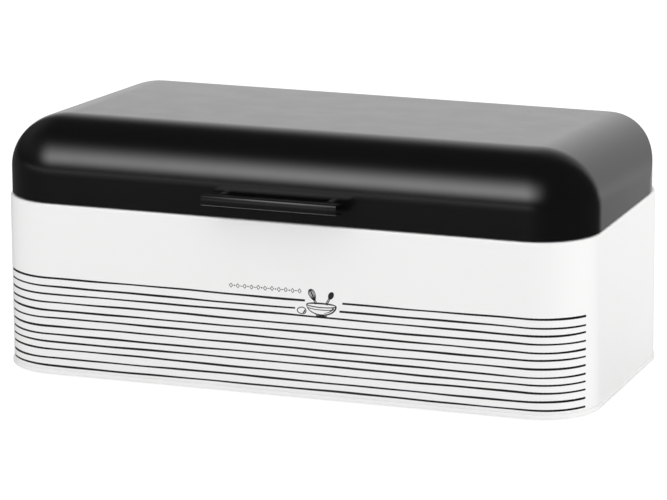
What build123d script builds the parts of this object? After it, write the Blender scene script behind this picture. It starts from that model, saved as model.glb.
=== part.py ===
from build123d import *
import os
from math import cos, radians, sin

# A bread box of sheet steel: a base box with a lid that lifts at the front and turns on two hinges at the back.
# Sizes are in millimetres, +Z is up and the front faces -Y. The origin is the middle of the whole footprint,
# on the surface that the rubber feet stand on.

# Base and lid, outside
body_width = 420.0
body_depth = 204.0
front_radius = 39.6
rear_radius = 40.0
seam_height = 119.4
lid_height = 57.9
lid_fall = 12.2
lid_radius = 42.0
lid_rear_radius = 47.3
lid_rise = 37.9
lid_inset = 0.4

# Sheet, and the slip between sheets that lie against each other
sheet = 0.8
slip = 0.05

# Rim rolled round the foot of the wall, and the floor above it
rim_height = 3.2
rim_proud = 0.8
rim_edge = 0.6
floor_lift = 4.0

# Shoulder and collar at the top of the wall
shoulder_radius = 1.5
collar_height = 6.5
collar_gap = 0.7

# Returns of the wall and the lid at the back, and how far the back panels lap behind them
return_length = 12.0
top_return = 10.0
lap = 10.0

# Two groups of air holes in the base's back panel
vent_radius = 2.5
vent_pitch = 11.0
vent_columns = 5
vent_rows = 3
vent_group_from_end = 140.0
vent_group_drop = 62.0

# Hem at the lid's lower edge
hem_height = 2.6
hem_edge = 0.4
lid_gap = 0.4

# Rubber feet
foot_radius = 8.0
foot_drop = 1.5
foot_edge = 0.8
foot_inset_x = 42.0
foot_inset_y = 36.0

# Hinges: leaves riveted to the back, knuckles on one pin, and a lug that stops the lid
hinge_from_end = 90.0
leaf_width = 34.0
leaf_height = 17.0
leaf_thickness = 1.0
leaf_corner = 3.0
knuckle_radius = 2.6
knuckle_stand_off = 0.15
lid_knuckle_length = 12.0
knuckle_end_gap = 0.3
knuckle_side_gap = 0.35
pin_radius = 1.5
pin_clearance = 0.06
pin_head_radius = 2.3
pin_head_length = 0.8
open_angle = 100.0
lug_reach = 2.4
lug_thickness = 1.6
lug_gap = 0.15

# Rivets
rivet_radius = 1.5
rivet_clearance = 0.05
rivet_head_radius = 2.9
rivet_head_height = 0.9
rivet_tail_radius = 2.6
rivet_tail_height = 0.6
rivet_x = 11.5
rivet_from_edge = 5.0

# Handle: a channel with open ends, falling towards the lid, on two posts held by screws from inside the lid
handle_length = 95.4
handle_height = 7.4
handle_depth = 13.5
handle_fall = 2.2
handle_reach = 18.9
handle_wall = 1.1
handle_top_rounding = 1.6
handle_low_rounding = 1.3
handle_centre = 16.0
handle_x = -1.8
post_radius = 3.4
post_spacing = 76.0
neck_radius = 1.5
screw_radius = 1.45
screw_clearance = 0.05
screw_hole_radius = 1.7
screw_length = 6.5
screw_head_radius = 3.0
screw_head_height = 1.8
slot_width = 0.8
slot_depth = 0.8
washer_radius = 4.2
washer_thickness = 0.7

# Places worked out from the sizes above
rim_low = foot_drop
wall_low = rim_low + sheet + slip
shelf = rim_low + seam_height
collar_top = shelf + collar_height
lid_low = shelf + lid_gap
panel_inset = sheet + slip
fold_inset = panel_inset + sheet
flange_inset = fold_inset + slip
collar_inset = lid_inset + 2 * sheet + collar_gap
floor_low = rim_low + floor_lift

axis_inset = panel_inset - knuckle_radius - knuckle_stand_off
lug_tip = knuckle_radius + lug_reach
lug_near = leaf_thickness + lug_gap - knuckle_radius - knuckle_stand_off
lug_swing = lug_near * cos(radians(open_angle)) + lug_tip * sin(radians(open_angle))
hinge_reach = lug_swing - axis_inset
handle_forward = handle_reach - lid_inset
shell_y = (handle_forward - hinge_reach) / 2
front = shell_y - body_depth / 2
back = shell_y + body_depth / 2
lid_front = front + lid_inset
lid_back = back - lid_inset
base_face = back - panel_inset
lid_face = lid_back - panel_inset
hinge_y = back - axis_inset
hinge_z = shelf + lid_gap / 2

half_width = body_width / 2
hinge_x = half_width - hinge_from_end
vent_group_x = half_width - vent_group_from_end
corner_x = half_width - rear_radius
return_x = corner_x - return_length
handle_z = shelf + handle_centre
post_z = handle_z - handle_fall / 2
post_x = {"left": handle_x - post_spacing / 2, "right": handle_x + post_spacing / 2}
base_rivet_z = hinge_z - leaf_height + rivet_from_edge
lid_rivet_z = hinge_z + leaf_height - rivet_from_edge
far = 2 * body_width


def block(x, y, z):
    """Box between two values on each axis."""
    size = Box(x[1] - x[0], y[1] - y[0], z[1] - z[0], align=(Align.MIN, Align.MIN, Align.MIN))
    return Pos(x[0], y[0], z[0]) * size


def rod(start, direction, radius, length):
    """Cylinder from a point along a direction."""
    return extrude(Plane(origin=start, z_dir=direction) * Circle(radius), amount=length)


def mirrored(shape):
    """The same piece on the other side of the box."""
    return mirror(shape, about=Plane.YZ)


def rounded_plan(inset, front_corner, rear_corner):
    """Plan of the base shrunk by inset, with the given corner radii."""
    plan = Pos(0, shell_y) * Rectangle(body_width - 2 * inset, body_depth - 2 * inset)
    plan = fillet(plan.vertices().group_by(Axis.Y)[0], front_corner)
    return fillet(plan.vertices().group_by(Axis.Y)[-1], rear_corner)


def base_plan(inset):
    """Plan of the base shrunk by inset."""
    return rounded_plan(inset, front_radius - inset, rear_radius - inset)


def lid_plan(inset):
    """Plan of the lid shrunk by inset."""
    return rounded_plan(lid_inset + inset, lid_radius - inset, lid_rear_radius - inset)


def prism(plan, low, high, edge=0.0):
    """Upright prism over a plan, rounded above and below."""
    solid = extrude(Pos(0, 0, low) * plan, amount=high - low)
    if edge:
        solid = fillet(solid.edges().filter_by(Axis.Z, reverse=True), edge)
    return solid


def ring(outer, inner, low, high, edge=0.0):
    """Upright ring between two plans, rounded outside above and below."""
    return prism(outer, low, high, edge) - prism(inner, low - sheet, high + sheet)


def back_strip(half_length):
    """Block that holds the middle of the back."""
    return block((-half_length, half_length), (back - rear_radius, far), (-far, far))


def shouldered_wall(inset):
    """Wall with a rounded shoulder, a shelf and a collar, set in from the base's outside."""
    top = shelf - inset
    skin = shoulder_block(inset, top, shoulder_radius)
    hollow = shoulder_block(inset + sheet, top - sheet, shoulder_radius - sheet)
    behind_lid = collar_inset - lid_inset + inset
    mouth_plan = lid_plan(behind_lid + sheet)
    mouth = prism(mouth_plan, top - 2 * sheet, top + sheet)
    collar = ring(lid_plan(behind_lid), mouth_plan, top - sheet, collar_top)
    return skin - hollow - mouth + collar


def shoulder_block(inset, top, radius):
    """Solid block of the wall with its top edge rounded."""
    solid = prism(base_plan(inset), wall_low, top)
    return fillet(solid.edges().filter_by(Axis.Z, reverse=True).group_by(Axis.Z)[-1], radius)


def cut(shape, holes):
    """The shape less every hole in a list."""
    for hole in holes:
        shape -= hole
    return shape


def rivet_holes(z):
    """Rivet holes of both hinges, through the back at one height."""
    places = [side * hinge_x + end * rivet_x for side in (-1, 1) for end in (-1, 1)]
    radius = rivet_radius + rivet_clearance
    return [rod((x, back - 3 * collar_inset, z), (0, 1, 0), radius, 6 * collar_inset) for x in places]


def air_holes():
    """Two groups of air holes."""
    columns = [(column - (vent_columns - 1) / 2) * vent_pitch for column in range(vent_columns)]
    across = [side * vent_group_x + x for side in (-1, 1) for x in columns]
    heights = [shelf - vent_group_drop - row * vent_pitch for row in range(vent_rows)]
    depth = 2 * rear_radius
    return [rod((x, back - rear_radius, z), (0, 1, 0), vent_radius, depth) for x in across for z in heights]


def make_base_wrap():
    """Sheet of the front, corners and ends, with its lower edge folded inwards."""
    fold = ring(base_plan(sheet), base_plan(fold_inset), wall_low, floor_low + sheet)
    fold -= back_strip(return_x + lap + slip)
    return shouldered_wall(0) + fold - back_strip(return_x)


def make_base_back_panel():
    """Sheet of the back, lapped inside the wall's returns, with air holes."""
    panel = shouldered_wall(panel_inset) & back_strip(return_x + lap)
    return cut(panel, air_holes() + rivet_holes(base_rivet_z))


def make_base_floor():
    """Floor pan whose edge turns down and rolls round the foot of the wall."""
    outside, inside = base_plan(flange_inset), base_plan(flange_inset + sheet)
    rolled = ring(base_plan(-rim_proud), inside, rim_low, rim_low + rim_height, rim_edge)
    groove = ring(base_plan(-slip), outside, rim_low + sheet, floor_low + sheet)
    flange = ring(outside, inside, rim_low, floor_low + sheet)
    return rolled - groove + flange + prism(outside, floor_low, floor_low + sheet)


def make_foot(x, y):
    """Rubber disc stuck under the floor."""
    foot = rod((x, y, 0), (0, 0, 1), foot_radius, floor_low)
    return fillet(foot.edges().group_by(Axis.Z)[0], foot_edge)


def lid_block(inset):
    """Solid of the lid's outside shrunk by inset: rounded in front and at the ends, flat behind, top falling back."""
    low = shelf - 3 * lid_fall
    top = shelf + lid_height - inset
    knee = top - lid_rise + inset
    radius = lid_radius - inset
    x_out = half_width - lid_inset - inset
    y_out = lid_front + inset
    x_axis = x_out - radius
    y_axis = y_out + radius
    side = Line((0, low), (0, knee))
    bend = EllipticalCenterArc((-radius, knee), radius, top - knee, start_angle=0, arc_size=90)
    section = make_face(side + bend + Polyline((-radius, top), (-radius, low), (0, low)))
    end_face = Plane(origin=(x_out, y_axis, 0), x_dir=(1, 0, 0), z_dir=(0, -1, 0)) * section
    front_face = Plane(origin=(x_axis, y_out, 0), x_dir=(0, -1, 0), z_dir=(-1, 0, 0)) * section
    end = extrude(end_face, amount=-body_depth)
    corner = revolve(end_face, axis=Axis((x_axis, y_axis, 0), (0, 0, -1)), revolution_arc=90)
    mould = block((-x_axis, x_axis), (y_axis, y_axis + body_depth), (low, top))
    mould += extrude(front_face, amount=2 * x_axis)
    mould += end + corner + mirrored(end) + mirrored(corner)
    slope = lid_fall / (body_depth - 2 * lid_inset)
    fall = Matrix([[1, 0, 0, 0], [0, 1, 0, 0], [0, -slope, 1, slope * lid_front], [0, 0, 0, 1]])
    mould = mould.transform_geometry(fall)
    mould -= block((-far, far), (lid_back - inset, far), (-far, far))
    return mould - rear_corners(x_out, lid_back - inset, lid_rear_radius - inset)


def rear_corners(x, y, radius):
    """What is cut away at the two rear corners to round them."""
    square = block((x - radius, x + radius), (y - radius, y + radius), (-far, far))
    square -= rod((x - radius, y - radius, -far), (0, 0, 1), radius, 2 * far)
    return square + mirrored(square)


def leaf_room(y):
    """Where the hem behind a line makes way for the hinge leaves."""
    reach = leaf_width / 2 + knuckle_side_gap
    spans = [(side * hinge_x - reach, side * hinge_x + reach) for side in (-1, 1)]
    return [block(span, (y, far), (lid_low - sheet, lid_low + 2 * hem_height)) for span in spans]


def make_lid_shell():
    """Pressed sheet of the lid's top, front and ends, folded inwards at its edge, with returns at the back."""
    hem = ring(lid_plan(0), lid_plan(2 * sheet), lid_low, lid_low + hem_height, hem_edge)
    lid = lid_block(0) - lid_block(sheet) - block((-far, far), (-far, far), (-far, lid_low + hem_edge)) + hem
    window_top = shelf + lid_height - lid_fall - top_return
    lid -= block((-return_x, return_x), (lid_back - rear_radius, far), (-far, window_top))
    holes = [rod((x, lid_front - sheet, post_z), (0, 1, 0), screw_hole_radius, 3 * sheet) for x in post_x.values()]
    return cut(lid, holes)


def make_lid_back_panel():
    """Sheet that closes the lid's back from inside the returns, folded inwards between them."""
    slab = block((-return_x - lap, return_x + lap), (lid_face - sheet, lid_face), (lid_low + hem_edge, far))
    below = lid_low + hem_height + slip
    beside = block((return_x - slip, far), (-far, far), (-far, below))
    hem_y = (lid_face - 2 * sheet, lid_face)
    hem = block((slip - return_x, return_x - slip), hem_y, (lid_low, lid_low + hem_height))
    hem = fillet(hem.edges().filter_by(Axis.X).group_by(Axis.Y)[-1], hem_edge)
    panel = (slab & lid_block(panel_inset)) - beside - mirrored(beside) + hem
    return cut(panel, leaf_room(lid_face) + rivet_holes(lid_rivet_z))


def handle_section(inset, reach):
    """Section of the handle seen from the right: upright in front, with both flanges falling backwards."""
    top = handle_height / 2 - inset
    fall = handle_fall / handle_depth * reach
    outline = [(inset, -top), (inset, top), (inset + reach, top - fall), (inset + reach, -top - fall)]
    section = make_face(Polyline(outline, close=True))
    corners = section.vertices().group_by(Axis.X)[0].sort_by(Axis.Y)
    section = fillet(corners[-1:], handle_top_rounding - inset)
    corners = section.vertices().group_by(Axis.X)[0].sort_by(Axis.Y)
    return fillet(corners[:1], handle_low_rounding - inset)


def make_handle_bar():
    """Channel that opens towards the lid."""
    plane = Plane(origin=(handle_x, lid_front - handle_reach, handle_z), x_dir=(0, 1, 0), z_dir=(1, 0, 0))
    bar = extrude(plane * handle_section(0, handle_depth), amount=handle_length / 2, both=True)
    hollow = extrude(plane * handle_section(handle_wall, 2 * handle_depth), amount=handle_length, both=True)
    return bar - hollow


def make_handle_post(x):
    """Spacer between the lid and the bar's web, with a thin neck inside the channel and a tapped hole."""
    start = (x, lid_front, post_z)
    post = rod(start, (0, -1, 0), post_radius, handle_reach - handle_depth)
    post += rod(start, (0, -1, 0), neck_radius, handle_reach - handle_wall)
    depth = screw_length - sheet - washer_thickness
    return post - rod(start, (0, -1, 0), screw_radius + screw_clearance, depth)


def make_handle_washer(x):
    """Washer inside the lid."""
    start = (x, lid_front + sheet, post_z)
    washer = rod(start, (0, 1, 0), washer_radius, washer_thickness)
    return washer - rod(start, (0, 1, 0), screw_hole_radius, washer_thickness)


def make_handle_screw(x):
    """Slotted screw from inside the lid into the post."""
    seat = lid_front + sheet + washer_thickness
    head = rod((x, seat, post_z), (0, 1, 0), screw_head_radius, screw_head_height)
    head = fillet(head.edges().group_by(Axis.Y)[-1], screw_head_height / 2)
    slot_y = seat + screw_head_height
    slot_z = (post_z - slot_width / 2, post_z + slot_width / 2)
    slot = block((x - far, x + far), (slot_y - slot_depth, far), slot_z)
    return head - slot + rod((x, seat, post_z), (0, -1, 0), screw_radius, screw_length)


def leaf_plate(x, face, low, high, outer_end):
    """Flat hinge leaf on a face, with the corners of its outer end rounded."""
    plate = block((x - leaf_width / 2, x + leaf_width / 2), (face, face + leaf_thickness), (low, high))
    return fillet(plate.edges().filter_by(Axis.Y).group_by(Axis.Z)[outer_end], leaf_corner)


def on_axis(x, radius, length):
    """Cylinder about the hinge's axis, centred on a place along it."""
    return rod((x - length / 2, hinge_y, hinge_z), (1, 0, 0), radius, length)


def make_base_leaf(x):
    """Hinge leaf on the base's back with a knuckle at each end."""
    gap = lid_knuckle_length / 2 + knuckle_end_gap
    room = knuckle_radius + knuckle_side_gap
    leaf = leaf_plate(x, base_face, hinge_z - leaf_height, hinge_z, 0) + on_axis(x, knuckle_radius, leaf_width)
    leaf -= block((x - gap, x + gap), (-far, far), (hinge_z - room, far))
    leaf -= on_axis(x, pin_radius + pin_clearance, leaf_width)
    return cut(leaf, rivet_holes(base_rivet_z))


def make_lid_leaf(x):
    """Hinge leaf on the lid's back with one knuckle and the lug that stops the lid when it is open."""
    gap = lid_knuckle_length / 2
    room = hinge_z + knuckle_radius + knuckle_side_gap
    leaf = leaf_plate(x, lid_face, hinge_z, hinge_z + leaf_height, -1)
    leaf -= block((x - far, x - gap), (-far, far), (-far, room))
    leaf -= block((x + gap, x + far), (-far, far), (-far, room))
    web_z = (hinge_z + knuckle_radius - leaf_thickness, hinge_z + knuckle_radius)
    web = block((x - gap, x + gap), (lid_face, hinge_y), web_z)
    lug_y = (hinge_y + lug_near, hinge_y + lug_near + lug_thickness)
    lug = block((x - gap, x + gap), lug_y, (hinge_z - lug_tip, hinge_z))
    lug = lug.rotate(Axis((x, hinge_y, hinge_z), (1, 0, 0)), open_angle)
    leaf += on_axis(x, knuckle_radius, lid_knuckle_length) + web + lug
    leaf -= on_axis(x, pin_radius + pin_clearance, leaf_width)
    return cut(leaf, rivet_holes(lid_rivet_z))


def make_hinge_pin(x):
    """Pin with a peened head at each end."""
    length = leaf_width + 2 * slip
    heads = on_axis(x, pin_head_radius, length + 2 * pin_head_length)
    heads = fillet(heads.edges().filter_by(GeomType.CIRCLE), pin_head_length / 2)
    heads -= block((x - length / 2, x + length / 2), (-far, far), (-far, far))
    return heads + on_axis(x, pin_radius, length + pin_head_length)


def make_rivet(x, z, outside, inside):
    """Rivet through a leaf and the sheet behind it, with a domed head outside."""
    head = rod((x, outside, z), (0, 1, 0), rivet_head_radius, rivet_head_height)
    head = fillet(head.edges().group_by(Axis.Y)[-1], rivet_head_height * 0.8)
    shank = rod((x, outside, z), (0, -1, 0), rivet_radius, outside - inside)
    tail = rod((x, inside, z), (0, -1, 0), rivet_tail_radius, rivet_tail_height)
    return head + shank + tail


def make_rivets(z, outside, inside):
    """Four rivets, two for each hinge."""
    places = [side * hinge_x + end * rivet_x for side in (-1, 1) for end in (-1, 1)]
    return Compound([solid for x in places for solid in make_rivet(x, z, outside, inside).solids()])


parts = {
    "base_wrap": make_base_wrap(),
    "base_back_panel": make_base_back_panel(),
    "base_floor": make_base_floor(),
    "base_hinge_rivets": make_rivets(base_rivet_z, base_face + leaf_thickness, base_face - sheet),
    "lid_shell": make_lid_shell(),
    "lid_back_panel": make_lid_back_panel(),
    "lid_hinge_rivets": make_rivets(lid_rivet_z, lid_face + leaf_thickness, lid_face - sheet),
    "handle_bar": make_handle_bar(),
}
for name, side in (("left", -1), ("right", 1)):
    foot_x = side * (half_width - foot_inset_x)
    parts[f"foot_front_{name}"] = make_foot(foot_x, front + foot_inset_y)
    parts[f"foot_rear_{name}"] = make_foot(foot_x, back - foot_inset_y)
    parts[f"hinge_base_leaf_{name}"] = make_base_leaf(side * hinge_x)
    parts[f"hinge_lid_leaf_{name}"] = make_lid_leaf(side * hinge_x)
    parts[f"hinge_pin_{name}"] = make_hinge_pin(side * hinge_x)
    parts[f"handle_post_{name}"] = make_handle_post(post_x[name])
    parts[f"handle_washer_{name}"] = make_handle_washer(post_x[name])
    parts[f"handle_screw_{name}"] = make_handle_screw(post_x[name])

os.makedirs("parts", exist_ok=True)
for name, shape in parts.items():
    export_step(shape, f"parts/{name}.step")
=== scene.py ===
"""Bread box of white and black enamelled sheet steel, dressed and lit for a studio picture.

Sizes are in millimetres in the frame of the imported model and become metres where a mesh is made. The patterns
of the finishes and the studio are in metres.
"""
import logging
import math
from collections.abc import Sequence
from dataclasses import dataclass, field
from enum import Enum

import bmesh
import bpy
import numpy as np
from mathutils import Matrix, Vector


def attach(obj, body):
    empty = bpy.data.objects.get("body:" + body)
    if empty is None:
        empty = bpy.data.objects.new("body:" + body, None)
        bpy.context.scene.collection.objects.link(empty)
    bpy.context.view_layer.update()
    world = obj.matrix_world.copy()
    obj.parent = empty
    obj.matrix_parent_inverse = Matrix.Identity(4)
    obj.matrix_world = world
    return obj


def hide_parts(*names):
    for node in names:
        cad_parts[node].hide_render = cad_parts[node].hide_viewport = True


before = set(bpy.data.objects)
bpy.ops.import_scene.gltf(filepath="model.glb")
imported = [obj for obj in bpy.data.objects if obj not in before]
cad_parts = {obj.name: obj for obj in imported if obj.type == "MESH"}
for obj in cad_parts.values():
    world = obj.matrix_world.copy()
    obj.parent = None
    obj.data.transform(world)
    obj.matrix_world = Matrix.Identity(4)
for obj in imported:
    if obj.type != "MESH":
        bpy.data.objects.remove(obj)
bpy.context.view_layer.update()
LOG = logging.getLogger("bread_box")
MM = 0.001
FULL_TURN = 2.0 * math.pi
SIDES = (("left", -1.0), ("right", 1.0))

Tree = bpy.types.NodeTree
Socket = bpy.types.NodeSocket
Piece = bpy.types.Object
Material = bpy.types.Material
Pair = tuple[float, float]
Triple = tuple[float, float, float]


class Body(str, Enum):
    """The two bodies that pieces ride on."""

    BASE = "base"
    LID = "lid"


class Slot(str, Enum):
    """Material slots of the record."""

    WHITE = "white_enamel"
    BLACK = "black_enamel"
    HANDLE = "handle_black"
    STEEL = "plated_steel"
    RUBBER = "rubber"


class Shading(Enum):
    """How faces meet: the widest angle, in degrees, that is still shaded smooth."""

    SOFT = 50.0
    CRISP = 28.0


@dataclass(frozen=True)
class Sizes:
    """Named sizes of the box that several pieces share."""

    half_width: float = 210.0
    front: float = -96.301
    back: float = 107.699
    front_radius: float = 39.6
    rear_radius: float = 40.0
    rim_low: float = 1.5
    shelf: float = 120.9
    sheet: float = 0.8
    slip: float = 0.05
    return_x: float = 158.0
    lid_inset: float = 0.4
    lid_radius: float = 42.0
    lid_rear_radius: float = 47.3
    lid_low: float = 121.3
    lid_height: float = 57.9
    lid_rise: float = 37.9
    lid_fall: float = 12.2
    panel_inset: float = 0.85
    hinge_x: float = 120.0
    hinge_y: float = 109.599
    hinge_z: float = 121.1

    @property
    def lid_front(self) -> float:
        """Front of the lid."""
        return self.front + self.lid_inset

    @property
    def lid_back(self) -> float:
        """Back of the lid."""
        return self.back - self.lid_inset

    @property
    def lid_slope(self) -> float:
        """How fast the lid's top falls towards the back."""
        return self.lid_fall / (self.lid_back - self.lid_front)


BOX = Sizes()


def node_tree(owner: Material | bpy.types.World) -> Tree:
    """Clears the nodes of a material or a world.

    Args:
        owner: The material or the world.

    Returns:
        Its empty node tree.
    """
    owner.use_nodes = True
    owner.node_tree.nodes.clear()
    return owner.node_tree


def add_node(tree: Tree, kind: str, **values: object) -> bpy.types.Node:
    """Adds a node and sets its properties and inputs.

    Args:
        tree: The tree that gets the node.
        kind: The node's Blender type.
        **values: Properties of the node, or inputs by name with spaces as underscores.

    Returns:
        The new node.
    """
    node = tree.nodes.new(kind)
    for key, value in values.items():
        name = key.replace("_", " ")
        if hasattr(node, key):
            setattr(node, key, value)
        elif name in node.inputs:
            node.inputs[name].default_value = value
        else:
            raise KeyError(f"{kind} has no {key}")
    return node


def math_node(tree: Tree, operation: str, *inputs: Socket | float) -> Socket:
    """Adds a Math node fed by sockets or numbers.

    Args:
        tree: The tree that gets the node.
        operation: The Math operation.
        *inputs: A socket or a number for each input.

    Returns:
        The result socket.
    """
    node = add_node(tree, "ShaderNodeMath", operation=operation)
    for index, value in enumerate(inputs):
        if isinstance(value, Socket):
            tree.links.new(value, node.inputs[index])
        else:
            node.inputs[index].default_value = value
    return node.outputs[0]


def product(tree: Tree, first: Socket, *others: Socket) -> Socket:
    """Multiplies sockets one after the other.

    Args:
        tree: The tree that gets the nodes.
        first: The first factor.
        *others: The factors that it is multiplied by.

    Returns:
        The socket of the product.
    """
    result = first
    for other in others:
        result = math_node(tree, "MULTIPLY", result, other)
    return result


def noise(tree: Tree, place: Socket, scale: float, detail: float,
          stretch: Triple = (1.0, 1.0, 1.0)) -> Socket:
    """Noise over a piece.

    Args:
        tree: The tree that gets the nodes.
        place: Coordinates of the piece.
        scale: Repeats per metre.
        detail: Octaves of the noise.
        stretch: Factors on the repeats along each axis; a small one draws the pattern out.

    Returns:
        The noise factor socket.
    """
    mapping = add_node(tree, "ShaderNodeMapping", Scale=stretch)
    tree.links.new(place, mapping.inputs["Vector"])
    texture = add_node(tree, "ShaderNodeTexNoise", Scale=scale, Detail=detail, Roughness=0.55)
    tree.links.new(mapping.outputs[0], texture.inputs["Vector"])
    return texture.outputs["Fac"]


def between(tree: Tree, factor: Socket, values: Pair, limits: Pair = (0.3, 0.7)) -> Socket:
    """Maps a factor smoothly from one value to another.

    Args:
        tree: The tree that gets the node.
        factor: The factor.
        values: The value before the first limit and the value past the second.
        limits: The factors between which the value changes.

    Returns:
        The socket of the value.
    """
    node = add_node(tree, "ShaderNodeMapRange", interpolation_type="SMOOTHSTEP")
    for name, value in zip(("From Min", "From Max", "To Min", "To Max"), (*limits, *values)):
        node.inputs[name].default_value = value
    tree.links.new(factor, node.inputs["Value"])
    return node.outputs["Result"]


def rise(tree: Tree, factor: Socket, limits: Pair) -> Socket:
    """Goes smoothly from 0 to 1 between two limits of a factor."""
    return between(tree, factor, (0.0, 1.0), limits)


def drop(tree: Tree, factor: Socket, limits: Pair) -> Socket:
    """Goes smoothly from 1 to 0 between two limits of a factor."""
    return between(tree, factor, (1.0, 0.0), limits)


def tint(tree: Tree, factor: Socket, first: Triple, second: Triple) -> Socket:
    """Mixes two colours.

    Args:
        tree: The tree that gets the node.
        factor: Share of the second colour.
        first: The colour at a factor of 0.
        second: The colour at a factor of 1.

    Returns:
        The socket of the colour.
    """
    node = add_node(tree, "ShaderNodeMix", data_type="RGBA")
    tree.links.new(factor, node.inputs["Factor"])
    node.inputs["A"].default_value = (*first, 1.0)
    node.inputs["B"].default_value = (*second, 1.0)
    return node.outputs["Result"]


def bump(tree: Tree, height: Socket, strength: float, distance: float, under: Socket | None = None) -> Socket:
    """Bump from a height.

    Args:
        tree: The tree that gets the node.
        height: The height, from 0 to 1.
        strength: Strength of the bump.
        distance: Depth of the bump, in metres.
        under: Another bump's normal that this one lies on.

    Returns:
        The socket of the normal.
    """
    node = add_node(tree, "ShaderNodeBump", Strength=strength, Distance=distance)
    tree.links.new(height, node.inputs["Height"])
    if under is not None:
        tree.links.new(under, node.inputs["Normal"])
    return node.outputs["Normal"]


@dataclass(frozen=True)
class Finish:
    """A finish: one shader, with patterns that lie on the piece's own coordinates."""

    name: str

    def dress(self, tree: Tree, place: Socket) -> bpy.types.Node:
        """Adds the finish's shader; each kind of finish has its own."""
        raise NotImplementedError(self.name)

    def build(self) -> Material:
        """Builds the material.

        Returns:
            The material, with the shader joined to its output.
        """
        material = bpy.data.materials.new(self.name)
        tree = node_tree(material)
        shader = self.dress(tree, tree.nodes.new("ShaderNodeTexCoord").outputs["Object"])
        output = tree.nodes.new("ShaderNodeOutputMaterial")
        tree.links.new(shader.outputs[0], output.inputs["Surface"])
        return material


@dataclass(frozen=True)
class Enamel(Finish):
    """Fired enamel on pressed steel: a hard skin with a faint orange peel and cloudy gloss."""

    colour: Triple
    shade: Triple
    roughness: Pair
    peel: float
    ior: float = 1.5

    def dress(self, tree: Tree, place: Socket) -> bpy.types.Node:
        """Adds the skin: two close colours, an uneven gloss, and a coarse and a fine peel.

        Args:
            tree: The tree that gets the nodes.
            place: Coordinates of the piece.

        Returns:
            The shader.
        """
        shader = add_node(tree, "ShaderNodeBsdfPrincipled", IOR=self.ior)
        cloud = noise(tree, place, scale=14.0, detail=3.0)
        tree.links.new(tint(tree, cloud, self.colour, self.shade), shader.inputs["Base Color"])
        smear = noise(tree, place, scale=45.0, detail=4.0, stretch=(1.0, 1.0, 0.35))
        tree.links.new(between(tree, smear, self.roughness), shader.inputs["Roughness"])
        coarse = bump(tree, noise(tree, place, scale=260.0, detail=2.0), self.peel, distance=0.0006)
        grain = noise(tree, place, scale=1400.0, detail=3.0)
        fine = bump(tree, grain, self.peel, distance=0.00012, under=coarse)
        tree.links.new(fine, shader.inputs["Normal"])
        return shader


@dataclass(frozen=True)
class PlatedSteel(Finish):
    """Zinc-plated steel: fine drawn lines with a cloudy grain."""

    colour: Triple = (0.60, 0.60, 0.59)
    shade: Triple = (0.46, 0.46, 0.455)
    roughness: Pair = (0.24, 0.42)

    def dress(self, tree: Tree, place: Socket) -> bpy.types.Node:
        """Adds the metal: grain in the colour, and lines drawn along X in the gloss and the bump.

        Args:
            tree: The tree that gets the nodes.
            place: Coordinates of the piece.

        Returns:
            The shader.
        """
        shader = add_node(tree, "ShaderNodeBsdfPrincipled", Metallic=1.0)
        grain = noise(tree, place, scale=900.0, detail=3.0)
        tree.links.new(tint(tree, grain, self.colour, self.shade), shader.inputs["Base Color"])
        lines = noise(tree, place, scale=1500.0, detail=3.0, stretch=(0.05, 1.0, 1.0))
        tree.links.new(between(tree, lines, self.roughness), shader.inputs["Roughness"])
        tree.links.new(bump(tree, lines, strength=0.25, distance=0.00004), shader.inputs["Normal"])
        return shader


@dataclass(frozen=True)
class Rubber(Finish):
    """Dull moulded rubber with a fine grain and a little dust."""

    colour: Triple = (0.030, 0.030, 0.031)
    dust: Triple = (0.075, 0.073, 0.070)

    def dress(self, tree: Tree, place: Socket) -> bpy.types.Node:
        """Adds the rubber: patches of dust in the colour and a fine grain in the bump.

        Args:
            tree: The tree that gets the nodes.
            place: Coordinates of the piece.

        Returns:
            The shader.
        """
        shader = add_node(tree, "ShaderNodeBsdfPrincipled", Roughness=0.72)
        dust = rise(tree, noise(tree, place, scale=380.0, detail=4.0), (0.52, 0.72))
        tree.links.new(tint(tree, dust, self.colour, self.dust), shader.inputs["Base Color"])
        grain = noise(tree, place, scale=2600.0, detail=2.0)
        tree.links.new(bump(tree, grain, strength=0.35, distance=0.0001), shader.inputs["Normal"])
        return shader


@dataclass(frozen=True)
class PrintInk(Finish):
    """Black screen-printed ink, slightly uneven in cover."""

    colour: Triple = (0.004, 0.004, 0.0045)
    thin: Triple = (0.011, 0.011, 0.012)

    def dress(self, tree: Tree, place: Socket) -> bpy.types.Node:
        """Adds the ink: patches of thinner cover in the colour and a fine grain in the bump.

        Args:
            tree: The tree that gets the nodes.
            place: Coordinates of the piece.

        Returns:
            The shader.
        """
        shader = add_node(tree, "ShaderNodeBsdfPrincipled", Roughness=0.6)
        cover = rise(tree, noise(tree, place, scale=160.0, detail=4.0, stretch=(0.4, 1.0, 1.0)), (0.5, 0.75))
        tree.links.new(tint(tree, cover, self.colour, self.thin), shader.inputs["Base Color"])
        grain = noise(tree, place, scale=1800.0, detail=2.0)
        tree.links.new(bump(tree, grain, strength=0.08, distance=0.00005), shader.inputs["Normal"])
        return shader


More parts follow.
